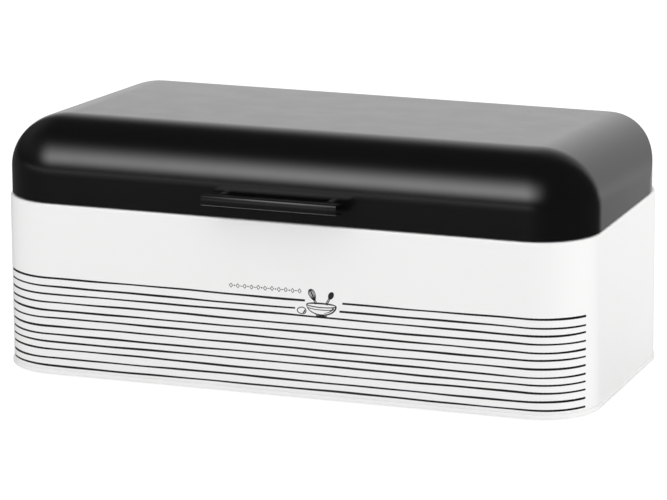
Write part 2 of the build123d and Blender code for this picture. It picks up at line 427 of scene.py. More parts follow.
@dataclass(frozen=True)
class Finishes:
    """Every finish of the box, built once."""

    white: Material
    black: Material
    handle: Material
    steel: Material
    rubber: Material
    ink: Material

    @classmethod
    def build(cls) -> "Finishes":
        """Builds the finishes.

        Returns:
            The finishes together.
        """
        white = Enamel("white_enamel", colour=(0.885, 0.885, 0.882), shade=(0.876, 0.876, 0.873),
                       roughness=(0.30, 0.36), peel=0.03)
        black = Enamel("black_enamel", colour=(0.0026, 0.0026, 0.0027), shade=(0.0034, 0.0034, 0.0036),
                       roughness=(0.205, 0.225), peel=0.012)
        handle = Enamel("handle_enamel", colour=(0.004, 0.004, 0.0042), shade=(0.0055, 0.0055, 0.0058),
                        roughness=(0.19, 0.23), peel=0.03)
        steel, rubber, ink = PlatedSteel("plated_steel"), Rubber("foot_rubber"), PrintInk("printed_black")
        return cls(*(finish.build() for finish in (white, black, handle, steel, rubber, ink)))

    def of_slot(self, slot: Slot) -> Material:
        """The finish of one of the record's slots."""
        return {Slot.WHITE: self.white, Slot.BLACK: self.black, Slot.HANDLE: self.handle,
                Slot.STEEL: self.steel, Slot.RUBBER: self.rubber}[slot]


@dataclass
class Patch:
    """A grid of points, in millimetres, with the way that its rows and columns close.

    Args:
        points: Array of rows by columns by three.
        wrap_rows: Whether the last row joins the first.
        wrap_columns: Whether the last column joins the first.
        cap_columns: Whether the first and last columns are closed by a face each.
        cap_rows: Whether the first and last rows are closed by a face each; a single row gets one face.
    """

    points: np.ndarray
    wrap_rows: bool = False
    wrap_columns: bool = False
    cap_columns: bool = False
    cap_rows: bool = False

    def faces(self, offset: int) -> list[list[int]]:
        """Four-cornered faces between neighbouring rows and columns, and the end caps.

        Args:
            offset: Index of this patch's first point.

        Returns:
            The faces as lists of point numbers.
        """
        rows, columns = self.points.shape[:2]
        row = np.arange(rows if self.wrap_rows else rows - 1)[:, None]
        column = np.arange(columns if self.wrap_columns else columns - 1)[None, :]
        start, onward = row * columns, (row + 1) % rows * columns
        beside = (column + 1) % columns
        corners = (start + column, start + beside, onward + beside, onward + column)
        faces = (np.stack(np.broadcast_arrays(*corners), axis=-1).reshape(-1, 4) + offset).tolist()
        number = np.arange(rows * columns).reshape(rows, columns) + offset
        if self.cap_columns:
            faces += [number[:, 0].tolist(), number[::-1, -1].tolist()]
        if self.cap_rows:
            faces += [number[0].tolist(), number[-1, ::-1].tolist()][:rows]
        return faces


def shade(piece: Piece, shading: Shading) -> None:
    """Shades a piece smooth up to an angle."""
    piece.data.shade_smooth()
    piece.data.set_sharp_from_angle(angle=math.radians(shading.value))


def make_piece(name: str, patches: Sequence[Patch], shading: Shading = Shading.SOFT) -> Piece:
    """Joins patches into one object whose place is in its mesh.

    Args:
        name: Name of the piece.
        patches: Grids of points.
        shading: Widest angle that is shaded smooth.

    Returns:
        The new object, welded, shaded and with its faces turned outwards where it is closed.
    """
    weld, sliver = 2e-6, 1e-7
    starts = np.cumsum([0] + [patch.points.shape[0] * patch.points.shape[1] for patch in patches])
    points = np.concatenate([patch.points.reshape(-1, 3) for patch in patches]) * MM
    faces = [face for patch, start in zip(patches, starts) for face in patch.faces(int(start))]
    mesh = bpy.data.meshes.new(name)
    mesh.from_pydata(points.tolist(), [], faces)
    shell = bmesh.new()
    shell.from_mesh(mesh)
    bmesh.ops.remove_doubles(shell, verts=shell.verts, dist=weld)
    bmesh.ops.dissolve_degenerate(shell, edges=shell.edges, dist=sliver)
    bmesh.ops.recalc_face_normals(shell, faces=shell.faces)
    shell.to_mesh(mesh)
    shell.free()
    piece = bpy.data.objects.new(name, mesh)
    bpy.context.scene.collection.objects.link(piece)
    shade(piece, shading)
    return piece


def bake_modifiers(piece: Piece, shading: Shading) -> None:
    """Replaces a piece's mesh by the one that its modifiers make.

    Args:
        piece: The piece.
        shading: Widest angle that is shaded smooth on the new mesh.
    """
    view = bpy.context.evaluated_depsgraph_get()
    mesh = bpy.data.meshes.new_from_object(piece.evaluated_get(view))
    piece.modifiers.clear()
    piece.data = mesh
    shade(piece, shading)


def finish_piece(piece: Piece, material: Material, body: Body, nodes: Sequence[str] = ()) -> None:
    """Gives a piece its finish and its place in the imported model.

    Args:
        piece: The piece.
        material: Its finish.
        body: The body that it rides on.
        nodes: The nodes that it stands for.
    """
    piece.data.materials.clear()
    piece.data.materials.append(material)
    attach(piece, body.value)
    if nodes:
        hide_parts(*nodes)
    LOG.info("%s: %d faces on %s", piece.name, len(piece.data.polygons), body.value)


def bevel(piece: Piece, width: float, segments: int, sharp: float = 40.0) -> None:
    """Rounds a piece's sharp edges.

    Args:
        piece: The piece.
        width: Width of the rounding, in millimetres.
        segments: Faces across the rounding.
        sharp: Least angle between faces, in degrees, that is rounded.
    """
    rounding = piece.modifiers.new("rounding", "BEVEL")
    rounding.width = width * MM
    rounding.segments = segments
    rounding.limit_method = "ANGLE"
    rounding.angle_limit = math.radians(sharp)
    rounding.harden_normals = False
    bake_modifiers(piece, Shading.SOFT)


def arc(centre: Pair, radius: float | Pair, start: float, end: float, steps: int) -> np.ndarray:
    """Points of an arc: centre plus radius times cosine and sine of evenly spaced angles.

    Args:
        centre: Centre of the arc.
        radius: Radius of a circle, or the two half axes of an ellipse.
        start: First angle, in degrees.
        end: Last angle, in degrees.
        steps: Steps between the two.

    Returns:
        Array of points by two.
    """
    turn = np.radians(np.linspace(start, end, steps + 1))
    reach = np.broadcast_to(np.asarray(radius, float), (2,))
    return np.column_stack((centre[0] + reach[0] * np.cos(turn), centre[1] + reach[1] * np.sin(turn)))


def guarded(start: float, end: float, guard: float = 0.5) -> np.ndarray:
    """Stations along a straight run, with one close to each end so that shading stays flat between them."""
    step = math.copysign(min(guard, abs(end - start) / 4), end - start)
    return np.array([start, start + step, end - step, end])


def upright(inset: float, levels: np.ndarray) -> np.ndarray:
    """Profile points at one inset and several levels."""
    return np.column_stack((np.full(len(levels), inset), levels))


@dataclass(frozen=True)
class Plan:
    """Plan outline with rounded corners, walked from the left part of the back round the front to the right.

    The walk is a list of points with outward directions: a point moved in by a distance along its direction
    lies on the outline set in by that distance, because all straight runs and corner arcs are concentric.
    """

    half_width: float
    front: float
    back: float
    front_radius: float
    rear_radius: float
    steps: int = 20

    def walk(self, back_reach: float) -> tuple[np.ndarray, np.ndarray]:
        """Points and outward directions of the walk.

        Args:
            back_reach: How far from the middle the walk starts and ends along the back.

        Returns:
            Points and unit directions, each an array of stations by two.
        """
        rear_x, front_x = self.half_width - self.rear_radius, self.half_width - self.front_radius
        rear_y, front_y = self.back - self.rear_radius, self.front + self.front_radius
        points, turns = [], []

        def run(start: Pair, end: Pair, angle: float) -> None:
            """Adds a straight run with guard stations, less its last point.

            Args:
                start: First point.
                end: Point after the last one.
                angle: Outward direction, in degrees.
            """
            length = math.dist(start, end)
            share = (guarded(0.0, length) / max(length, 1e-9))[:-1, None]
            points.append(np.asarray(start) + share * (np.asarray(end) - np.asarray(start)))
            turns.append(np.full(len(share), angle))

        def corner(centre: Pair, radius: float, start: float) -> None:
            """Adds a quarter arc, less its last point.

            Args:
                centre: Centre of the arc.
                radius: Its radius.
                start: First outward direction, in degrees.
            """
            turn = start + np.linspace(0.0, 90.0, self.steps + 1)[:-1]
            angle = np.radians(turn)
            points.append(np.asarray(centre) + radius * np.column_stack((np.cos(angle), np.sin(angle))))
            turns.append(turn)

        run((-back_reach, self.back), (-rear_x, self.back), 90.0)
        corner((-rear_x, rear_y), self.rear_radius, 90.0)
        run((-self.half_width, rear_y), (-self.half_width, front_y), 180.0)
        corner((-front_x, front_y), self.front_radius, 180.0)
        run((-front_x, self.front), (front_x, self.front), 270.0)
        corner((front_x, front_y), self.front_radius, 270.0)
        run((self.half_width, front_y), (self.half_width, rear_y), 0.0)
        corner((rear_x, rear_y), self.rear_radius, 0.0)
        run((rear_x, self.back), (back_reach, self.back), 90.0)
        points.append(np.array([[back_reach, self.back]]))
        turns.append(np.array([90.0]))
        turn = np.radians(np.concatenate(turns))
        return np.concatenate(points), np.column_stack((np.cos(turn), np.sin(turn)))

    def sweep(self, profile: np.ndarray, back_reach: float) -> np.ndarray:
        """Carries a profile round the walk.

        Each profile point (inset, height) makes one row: the walk's points moved in by the inset, at that
        height.

        Args:
            profile: Array of insets and heights.
            back_reach: How far from the middle the walk starts and ends.

        Returns:
            Points as rows by stations by three.
        """
        points, outward = self.walk(back_reach)
        flat = points[None] - outward[None] * profile[:, 0, None, None]
        height = np.broadcast_to(profile[:, 1, None, None], (*flat.shape[:2], 1))
        return np.concatenate((flat, height), axis=2)

    def ring(self, profile: np.ndarray) -> np.ndarray:
        """Carries a profile all the way round, without the doubled last station."""
        return self.sweep(profile, 0.0)[:, :-1]


WALL_PLAN = Plan(BOX.half_width, BOX.front, BOX.back, BOX.front_radius, BOX.rear_radius)
LID_PLAN = Plan(BOX.half_width - BOX.lid_inset, BOX.lid_front, BOX.lid_back, BOX.lid_radius,
                BOX.lid_rear_radius)


def turned(profile: np.ndarray, centre: Triple, axis: str, steps: int = 40) -> Patch:
    """Turns a profile about an axis.

    A profile point (distance along, radius) becomes a circle of that radius, at that distance along the axis.

    Args:
        profile: Array of distances along the axis and radii.
        centre: Point on the axis that distances count from.
        axis: Letter of the axis.
        steps: Sides of the turned shape.

    Returns:
        A patch closed round the axis.
    """
    turn = np.linspace(0.0, FULL_TURN, steps, endpoint=False)
    along = np.broadcast_to(profile[:, 0, None], (len(profile), steps))
    first, second = profile[:, 1, None] * np.cos(turn), profile[:, 1, None] * np.sin(turn)
    order = {"X": (along, first, second), "Y": (second, along, first), "Z": (first, second, along)}[axis]
    return Patch(np.stack(order, axis=2) + np.asarray(centre), wrap_columns=True)


def prism(outline: np.ndarray, low: float, high: float, axis: str) -> Patch:
    """Carries a closed outline straight along an axis and caps both ends.

    Args:
        outline: Array of points by two, on the other two axes in their order.
        low: Where the prism starts on the axis.
        high: Where it ends.
        axis: Letter of the axis.

    Returns:
        A closed patch.
    """
    level = np.broadcast_to(np.array([low, high])[:, None], (2, len(outline)))
    first, second = (np.broadcast_to(outline[None, :, column], level.shape) for column in (0, 1))
    order = {"X": (level, first, second), "Y": (first, level, second), "Z": (first, second, level)}[axis]
    return Patch(np.stack(order, axis=2), wrap_columns=True, cap_rows=True)


@dataclass
class Base:
    """White base: the wall with its collar, the floor pan with its rolled rim, and the rubber feet."""

    finishes: Finishes
    shoulder: float = 1.5
    collar_inset: float = 2.7
    collar_root: float = 0.4
    collar_top: float = 127.4
    rim_high: float = 4.7
    rim_proud: float = 0.8
    rim_roll: float = 0.7
    rim_lip: float = 0.35
    rim_root: float = 0.4
    groove: float = 1.7
    floor_low: float = 5.5
    foot_radius: float = 8.0
    foot_edge: float = 0.8
    foot_x: float = 168.0
    foot_inset_y: float = 36.0

    def wall(self) -> Piece:
        """Wall, rounded shoulder, shelf and collar as one closed profile carried round the plan.

        The profile runs up the outside, round the shoulder, across the shelf, up and over the collar, and
        back down the inside one sheet further in. Its collar points follow the lid's plan, the others the
        wall's.

        Returns:
            The wall.
        """
        sheet, top, low = BOX.sheet, BOX.shelf, BOX.rim_low + BOX.sheet + BOX.slip
        bend, root = top - self.shoulder, self.collar_root
        face, inner = self.collar_inset, self.collar_inset + sheet
        tip = self.collar_top - sheet / 2
        skin = np.vstack((
            upright(0.0, guarded(low, bend)),
            arc((self.shoulder, bend), self.shoulder, 180.0, 90.0, 8)[1:],
        ))
        collar = np.vstack((
            arc((face - root, top + root), root, 270.0, 360.0, 4),
            upright(face, guarded(top + root, tip)[1:3]),
            arc(((face + inner) / 2, tip), sheet / 2, 180.0, 0.0, 6),
            upright(inner, guarded(tip, top - sheet)[1:]),
        ))
        lining = np.vstack((
            arc((self.shoulder, bend), self.shoulder - sheet, 90.0, 180.0, 6),
            upright(sheet, guarded(bend, low)[1:]),
        ))
        collar[:, 0] -= BOX.lid_inset
        rows = [plan.sweep(profile, BOX.return_x)
                for plan, profile in ((WALL_PLAN, skin), (LID_PLAN, collar), (WALL_PLAN, lining))]
        return make_piece("base_wall", [Patch(np.concatenate(rows), wrap_rows=True, cap_columns=True)])

    def rim(self) -> Piece:
        """Rolled rim: a folded profile with a groove for the wall's edge, carried all the way round.

        Returns:
            The rim.
        """
        low, high, sheet = BOX.rim_low, self.rim_high, BOX.sheet
        out, edge, lip, root = -self.rim_proud, -BOX.slip, self.rim_lip, self.rim_root
        inner, top, guard = self.groove + sheet, self.floor_low + sheet, 0.3
        profile = np.vstack((
            arc((out + self.rim_roll, low + self.rim_roll), self.rim_roll, 270.0, 180.0, 6),
            arc((out + lip, high - lip), lip, 180.0, 90.0, 4),
            [(edge, high), (edge, low + sheet), (self.groove, low + sheet), (self.groove, top)],
            [(inner, top), (inner, top - guard), (inner, low + root)],
            arc((inner - root, low + root), root, 0.0, -90.0, 4)[1:],
        ))
        patch = Patch(WALL_PLAN.ring(profile), wrap_rows=True, wrap_columns=True)
        return make_piece("base_rim", [patch], Shading.CRISP)

    def pan(self) -> Piece:
        """Floor pan: a plate with a shallow pressed panel, as rings of the plan set in step by step.

        Each step is an inset and a height against the pan's edge.

        Returns:
            The pan.
        """
        low, high = self.floor_low, self.floor_low + BOX.sheet
        steps = np.array([(2.3, 0.0), (14.0, 0.0), (15.2, -0.12), (16.6, -0.48), (17.8, -0.6), (30.0, -0.6)])
        above = WALL_PLAN.ring(steps + np.array([0.0, high]))
        below = WALL_PLAN.ring(steps[::-1] + np.array([0.0, low]))
        plate = Patch(np.concatenate((below, above)), wrap_columns=True, cap_rows=True)
        return make_piece("base_pan", [plate])

    def foot(self, name: str, x: float, y: float) -> Piece:
        """Rubber foot: a turned disc with a rounded tread, a shallow cup under it and a groove near its top.

        Args:
            name: Name of the piece.
            x: Place of its axis along the box.
            y: Place of its axis across the box.

        Returns:
            The foot.
        """
        radius, edge, top = self.foot_radius, self.foot_edge, self.floor_low
        profile = np.vstack((
            [(0.45, 0.0), (0.4, 3.6), (0.12, 4.4), (0.0, 5.0), (0.0, radius - edge - 0.4)],
            arc((edge, radius - edge), edge, 180.0, 90.0, 6),
            [(top - 0.9, radius), (top - 0.6, radius - 0.15), (top - 0.3, radius), (top, radius), (top, 0.0)],
        ))
        return make_piece(name, [turned(profile, (x, y, 0.0), "Z", 48)], Shading.CRISP)

    def build(self) -> None:
        """Builds and dresses the base's pieces."""
        sheets = ((self.wall(), "base_wrap"), (self.rim(), "base_floor"), (self.pan(), "base_floor"))
        for piece, node in sheets:
            finish_piece(piece, self.finishes.white, Body.BASE, [node])
        for end, y in (("front", BOX.front + self.foot_inset_y), ("rear", BOX.back - self.foot_inset_y)):
            for side, sign in SIDES:
                foot = self.foot(f"rubber_foot_{end}_{side}", sign * self.foot_x, y)
                finish_piece(foot, self.finishes.rubber, Body.BASE, [f"foot_{end}_{side}"])


@dataclass
class Lid:
    """Black lid: a dome with rounded front and ends, a flat falling top and returns behind, and a hem."""

    finishes: Finishes
    top_return: float = 10.0
    hem_height: float = 2.6
    hem_edge: float = 0.25
    steps: int = 26
    wall_shares: tuple[float, ...] = (0.0, 0.02, 0.2, 0.5, 0.8, 0.98)

    @property
    def knee(self) -> float:
        """Height, at the front, where the upright side starts to round over."""
        return BOX.shelf + BOX.lid_height - BOX.lid_rise

    @property
    def window_top(self) -> float:
        """Upper edge of the window that the back panel closes."""
        return BOX.shelf + BOX.lid_height - BOX.lid_fall - self.top_return

    def fallen(self, points: np.ndarray) -> np.ndarray:
        """Lowers points by the fall of the lid's top: slope times the distance behind the lid's front.

        Args:
            points: Array whose last axis holds the three coordinates.

        Returns:
            The lowered points.
        """
        lowered = points.copy()
        lowered[..., 2] -= BOX.lid_slope * (points[..., 1] - BOX.lid_front)
        return lowered

    def level(self, turn: float) -> np.ndarray:
        """One level line of the rounding, from the left return round the front to the right return.

        At a turn t of the rounding's quarter ellipse the front and the ends stand in by radius times
        (1 - cos t), at the height knee plus rise times sin t. The front corners keep their centre and shrink
        by that inset. The rear corners stay where they are: their arc runs from the back to its meeting with
        the end.

        Args:
            turn: Place on the rounding, from 0 at the upright side to a quarter turn at the flat top.

        Returns:
            Points of the line, not yet lowered by the fall of the top.
        """
        plan, inset = LID_PLAN, BOX.lid_radius * (1.0 - math.cos(turn))
        edge = plan.half_width - inset
        rear_x, rear_y = plan.half_width - plan.rear_radius, plan.back - plan.rear_radius
        axis_x, axis_y = plan.half_width - BOX.lid_radius, plan.front + BOX.lid_radius
        meet = math.degrees(math.acos(min(1.0, (edge - rear_x) / plan.rear_radius)))
        back = np.column_stack((guarded(BOX.return_x, rear_x), np.full(4, plan.back)))
        rear = arc((rear_x, rear_y), plan.rear_radius, 90.0, meet, plan.steps)
        end = upright(edge, guarded(rear[-1, 1], axis_y))
        corner = arc((axis_x, axis_y), max(BOX.lid_radius - inset, 0.0), 0.0, -90.0, plan.steps)
        front = np.column_stack((guarded(axis_x, -axis_x), np.full(4, plan.front + inset)))
        half = np.vstack((back, rear[1:], end[1:], corner[1:]))
        other = half[::-1] * np.array([-1.0, 1.0])
        line = np.vstack((half, front[1:-1], other))[::-1]
        return np.column_stack((line, np.full(len(line), self.knee + BOX.lid_rise * math.sin(turn))))

    def dome(self) -> Piece:
        """The pressed dome as stacked level lines.

        The levels run up the quarter ellipse of the rounding, one of them at the window's upper edge. Below
        that edge the lines are open, above it they close along the back. Each point is lowered by the fall of
        the top. The upright wall below stands on the lid's lower edge, and one face closes the flat top.

        Returns:
            The dome, with the sheet's thickness.
        """
        sill = math.asin((self.window_top + BOX.lid_fall - self.knee) / BOX.lid_rise)
        turns = np.unique(np.concatenate((np.linspace(0.0, math.pi / 2, self.steps + 1), [sill])))
        lines = self.fallen(np.stack([self.level(turn) for turn in turns]))
        foot = lines[0].copy()
        foot[:, 2] = BOX.lid_low + BOX.sheet
        wall = foot[None] + np.array(self.wall_shares)[:, None, None] * (lines[0] - foot)[None]
        upper = lines[turns >= sill]
        across = np.broadcast_to(guarded(BOX.return_x, -BOX.return_x)[None, 1:-1], (len(upper), 2))
        height = np.broadcast_to(upper[:, :1, 2], across.shape)
        back = np.stack((across, np.full_like(across, LID_PLAN.back), height), axis=2)
        top = np.concatenate((upper[-1], back[-1]))
        patches = [Patch(np.concatenate((wall, lines[turns <= sill]))),
                   Patch(np.concatenate((upper, back), axis=1), wrap_columns=True),
                   Patch(top[None], wrap_columns=True, cap_rows=True)]
        piece = make_piece("lid_dome", patches, Shading.CRISP)
        self.face_outwards(piece)
        sheet = piece.modifiers.new("sheet", "SOLIDIFY")
        sheet.thickness = BOX.sheet * MM
        sheet.offset = -1.0
        sheet.use_even_offset = True
        bake_modifiers(piece, Shading.CRISP)
        return piece

    def face_outwards(self, piece: Piece) -> None:
        """Turns an open shell's faces away from its middle.

        The faces point outwards where the sum of area times normal times way from the middle is positive.

        Args:
            piece: The shell.
        """
        mesh = piece.data
        count = len(mesh.polygons)
        centre, normal, area = np.empty(count * 3), np.empty(count * 3), np.empty(count)
        mesh.polygons.foreach_get("center", centre)
        mesh.polygons.foreach_get("normal", normal)
        mesh.polygons.foreach_get("area", area)
        away = centre.reshape(-1, 3) - np.array([0.0, 0.0, BOX.lid_low * MM])
        if float((np.einsum("ij,ij->i", away, normal.reshape(-1, 3)) * area).sum()) < 0.0:
            mesh.flip_normals()

    def hem(self) -> Piece:
        """Folded hem: the sheet's edge turned inwards round a half circle, carried round to the returns.

        Returns:
            The hem.
        """
        sheet, low, high = BOX.sheet, BOX.lid_low + BOX.sheet, BOX.lid_low + self.hem_height
        edge, face = self.hem_edge, BOX.sheet + 0.02
        profile = np.vstack((
            arc((sheet, low), sheet, 180.0, 360.0, 14),
            [(2 * sheet, high - 2 * edge)],
            arc((2 * sheet - edge, high - edge), edge, 0.0, 90.0, 4),
            [(face, high), (face, low)],
        ))
        sweep = LID_PLAN.sweep(profile, BOX.return_x)
        return make_piece("lid_hem", [Patch(sweep, wrap_rows=True, cap_columns=True)])

    def build(self) -> None:
        """Builds and dresses the lid's pieces."""
        for piece in (self.dome(), self.hem()):
            finish_piece(piece, self.finishes.black, Body.LID, ["lid_shell"])


@dataclass
class Handle:
    """Black channel handle with open ends on two posts, with washers inside the lid."""

    finishes: Finishes
    length: float = 95.4
    height: float = 7.4
    depth: float = 13.5
    fall: float = 2.2
    reach: float = 18.9
    gauge: float = 1.1
    round_low: float = 1.3
    tip_ease: float = 0.3
    edge: float = 0.14
    crown: float = 13.0
    crown_start: float = -0.9
    crown_end: float = 2.3
    centre_x: float = -1.8
    centre_z: float = 136.9
    spacing: float = 76.0
    collar: float = 3.4
    neck: float = 1.5
    washer_outer: float = 4.2
    washer_bore: float = 1.7
    washer_thick: float = 0.7

    def section(self) -> np.ndarray:
        """Closed section of the channel, as depths behind the front and heights from the middle.

        It runs outside up the front and along the upper flange, back along its inside, down the web's inside
        and along the lower flange. The front leans back above the crown's start, by the square of the height
        over it divided by twice the crown's radius, and an arc that continues its slope leads into the upper
        flange.

        Returns:
            Array of points by two.
        """
        half, gauge, tip, ease, low = self.height / 2, self.gauge, self.depth, self.tip_ease, self.round_low
        over = self.crown_end - self.crown_start
        lean = math.atan(over / self.crown)
        bend = (half - self.crown_end) / (1.0 - math.sin(lean))
        centre = (over ** 2 / (2 * self.crown) + bend * math.cos(lean), half - bend)
        start = 180.0 - math.degrees(lean)
        level = np.linspace(self.crown_start, self.crown_end, 9)[:-1]
        slant = (level - self.crown_start) ** 2 / (2 * self.crown)
        return np.vstack((
            arc((low, low - half), low, 270.0, 180.0, 6),
            np.column_stack((slant, level)),
            arc(centre, bend, start, 90.0, 8),
            [(tip - ease, half), (tip, half - ease), (tip, half - gauge + ease), (tip - ease, half - gauge)],
            arc(centre, bend - gauge, 90.0, start, 6),
            np.column_stack((slant + gauge, level))[-2::-1],
            arc((low, low - half), low - gauge, 180.0, 270.0, 4),
            [(tip - ease, gauge - half), (tip, gauge - half - ease), (tip, ease - half), (tip - ease, -half)],
        ))

    def bar(self) -> Piece:
        """Channel: its section carried along the bar, with flanges that fall in proportion to their depth.

        Returns:
            The bar, with its edges rounded.
        """
        section = self.section()
        back = BOX.lid_front - self.reach + section[:, 0]
        up = self.centre_z + section[:, 1] - self.fall / self.depth * section[:, 0]
        along = self.centre_x + np.array([-0.5, 0.5]) * self.length
        grid = np.stack(np.broadcast_arrays(along[:, None], back[None], up[None]), axis=2)
        piece = make_piece("handle_channel", [Patch(grid, wrap_columns=True, cap_rows=True)])
        bevel(piece, self.edge, 2)
        return piece

    def screw_axis(self, x: float, y: float) -> Triple:
        """Point on a screw's axis."""
        return (x, y, self.centre_z - self.fall / 2)

    def post(self, side: str, x: float) -> Piece:
        """Stepped post: a turned collar between the lid and the channel with a thin neck to the web.

        Args:
            side: Side of the handle.
            x: Place of its axis along the box.

        Returns:
            The post.
        """
        shoulder, tip, collar, neck = self.depth - self.reach, self.gauge - self.reach, self.collar, self.neck
        ease, root = 0.4, 0.2
        profile = np.array([
            (0.0, 0.0), (0.0, collar - ease), (-ease, collar), (shoulder + ease, collar),
            (shoulder, collar - ease), (shoulder, neck + root), (shoulder - root, neck),
            (tip, neck), (tip, 0.0),
        ])
        patch = turned(profile, self.screw_axis(x, BOX.lid_front), "Y", 36)
        return make_piece(f"handle_spacer_{side}", [patch], Shading.CRISP)

    def washer(self, side: str, x: float) -> Piece:
        """Washer: a flat ring with rolled edges, turned about the screw.

        Args:
            side: Side of the handle.
            x: Place of its axis along the box.

        Returns:
            The washer.
        """
        thick, outer, bore = self.washer_thick, self.washer_outer, self.washer_bore
        near, far, lip = 0.15, 0.2, 0.1
        profile = np.array([
            (0.0, bore), (0.0, outer - near), (near, outer), (thick - far, outer), (thick, outer - far),
            (thick, bore + lip), (thick - lip, bore),
        ])
        patch = turned(profile, self.screw_axis(x, BOX.lid_front + BOX.sheet), "Y", 36)
        patch.wrap_rows = True
        return make_piece(f"handle_ring_{side}", [patch], Shading.CRISP)

    def build(self) -> None:
        """Builds and dresses the handle's pieces."""
        black, steel = self.finishes.handle, self.finishes.steel
        finish_piece(self.bar(), black, Body.LID, ["handle_bar"])
        for side, sign in SIDES:
            x = self.centre_x + sign * self.spacing / 2
            finish_piece(self.post(side, x), black, Body.LID, [f"handle_post_{side}"])
            finish_piece(self.washer(side, x), steel, Body.LID, [f"handle_washer_{side}"])


@dataclass
class Hinges:
    """Two hinges at the back: leaves with rolled knuckles, pins and domed rivets."""

    finishes: Finishes
    width: float = 34.0
    leaf: float = 17.0
    gauge: float = 1.0
    corner: float = 3.0
    knuckle: float = 2.6
    knuckle_ease: float = 0.2
    bore: float = 1.56
    lid_knuckle: float = 12.0
    end_gap: float = 0.3
    room: float = 2.95
    pin_radius: float = 1.5
    pin_proud: float = 0.05
    pin_head: Pair = (0.8, 2.3)
    rivet_x: float = 11.5
    rivet_edge: float = 5.0
    rivet_radius: float = 1.5
    rivet_head: Pair = (0.8, 2.9)
    rivet_tail: Pair = (0.6, 2.6)
    lug_reach: float = 5.0
    lug_root: float = 1.8
    lug_thick: float = 1.6
    lug_near: float = -1.6
    open_angle: float = 100.0

    def barrel(self, start: float, end: float) -> Patch:
        """Knuckle: a turned tube with eased ends about the hinge's axis.

        Args:
            start: Where it starts along the box.
            end: Where it ends.

        Returns:
            A closed patch.
        """
        bore, outer, ease = self.bore, self.knuckle, self.knuckle_ease
        profile = np.array([(start, bore), (start, outer - ease), (start + ease, outer), (end - ease, outer),
                            (end, outer - ease), (end, bore)])
        patch = turned(profile, (0.0, BOX.hinge_y, BOX.hinge_z), "X", 40)
        patch.wrap_rows = True
        return patch

    def plate(self, x: float, face: float, outline: np.ndarray) -> Patch:
        """Leaf plate: an outline in width and height carried through the leaf's gauge."""
        return prism(outline + np.array([x, BOX.hinge_z]), face, face + self.gauge, "Y")

    def base_leaf(self, side: str, x: float) -> Piece:
        """Leaf on the base: a plate that hangs from two end knuckles, notched for the lid's knuckle.

        Args:
            side: Side of the box.
            x: Middle of the hinge.

        Returns:
            The leaf.
        """
        half, gap, low = self.width / 2, self.lid_knuckle / 2 + self.end_gap, -self.leaf
        corner, room = self.corner, self.room
        outline = np.vstack((
            arc((half - corner, low + corner), corner, 270.0, 360.0, 8),
            [(half, 0.0), (gap, 0.0), (gap, -room), (-gap, -room), (-gap, 0.0), (-half, 0.0)],
            arc((corner - half, low + corner), corner, 180.0, 270.0, 8),
        ))
        patches = [self.plate(x, BOX.back - BOX.panel_inset, outline), self.barrel(x - half, x - gap),
                   self.barrel(x + gap, x + half)]
        return make_piece(f"hinge_leaf_base_{side}", patches, Shading.CRISP)

    def lug(self) -> np.ndarray:
        """Stop lug: a rectangle that hangs below the axis at full opening, turned back to the closed lid.

        Returns:
            Its corners, as places across the box and heights.
        """
        near, far = self.lug_near, self.lug_near + self.lug_thick
        corners = np.array([(near, -self.lug_reach), (far, -self.lug_reach), (far, -self.lug_root),
                            (near, -self.lug_root)])
        turn = math.radians(self.open_angle)
        spin = np.array([(math.cos(turn), math.sin(turn)), (-math.sin(turn), math.cos(turn))])
        return corners @ spin + np.array([BOX.hinge_y, BOX.hinge_z])

    def lid_leaf(self, side: str, x: float) -> Piece:
        """Leaf on the lid: a plate, one knuckle held by a web, and the lug that stops the lid.

        Args:
            side: Side of the box.
            x: Middle of the hinge.

        Returns:
            The leaf.
        """
        half, gap, high = self.width / 2, self.lid_knuckle / 2, self.leaf
        corner, room, face = self.corner, self.room, BOX.lid_back - BOX.panel_inset
        outline = np.vstack((
            [(-half, room), (-gap, room), (-gap, 0.0), (gap, 0.0), (gap, room), (half, room)],
            arc((half - corner, high - corner), corner, 0.0, 90.0, 8),
            arc((corner - half, high - corner), corner, 90.0, 180.0, 8),
        ))
        top = BOX.hinge_z + self.knuckle
        low = top - self.gauge
        web = np.array([(face, low), (BOX.hinge_y, low), (BOX.hinge_y, top), (face, top)])
        patches = [self.plate(x, face, outline), self.barrel(x - gap, x + gap)]
        patches += [prism(shape, x - gap, x + gap, "X") for shape in (web, self.lug())]
        return make_piece(f"hinge_leaf_lid_{side}", patches, Shading.CRISP)

    def pin(self, side: str, x: float) -> Piece:
        """Hinge pin: a turned rod with a domed head at each end.

        Args:
            side: Side of the box.
            x: Middle of the hinge.

        Returns:
            The pin.
        """
        half, radius = self.width / 2 + self.pin_proud, self.pin_radius
        dome = arc((0.0, 0.0), self.pin_head, 0.0, 90.0, 6)
        right = np.column_stack((x + half + dome[:, 0], dome[:, 1]))
        left = np.column_stack((x - half - dome[::-1, 0], dome[::-1, 1]))
        profile = np.vstack((left, [(x - half, radius), (x + half, radius)], right[::-1]))
        patch = turned(profile, (0.0, BOX.hinge_y, BOX.hinge_z), "X", 36)
        return make_piece(f"hinge_rod_{side}", [patch], Shading.CRISP)

    def rivet(self, x: float, z: float, outside: float, inside: float) -> Patch:
        """Rivet: a turned shank with a domed head outside and a flat tail inside.

        Args:
            x: Place of its axis along the box.
            z: Height of its axis.
            outside: Face that its head lies on.
            inside: Face that its tail lies on.

        Returns:
            A closed patch.
        """
        shank, (thick, tail) = self.rivet_radius, self.rivet_tail
        dome = arc((outside + 0.1, 0.0), self.rivet_head, 90.0, 0.0, 8)
        profile = np.vstack((
            [(inside - thick, 0.0), (inside - thick, tail - thick / 2), (inside - thick / 2, tail)],
            [(inside, tail), (inside, shank), (outside, shank), (outside, self.rivet_head[1])],
            dome,
        ))
        return turned(profile, (x, 0.0, z), "Y", 32)

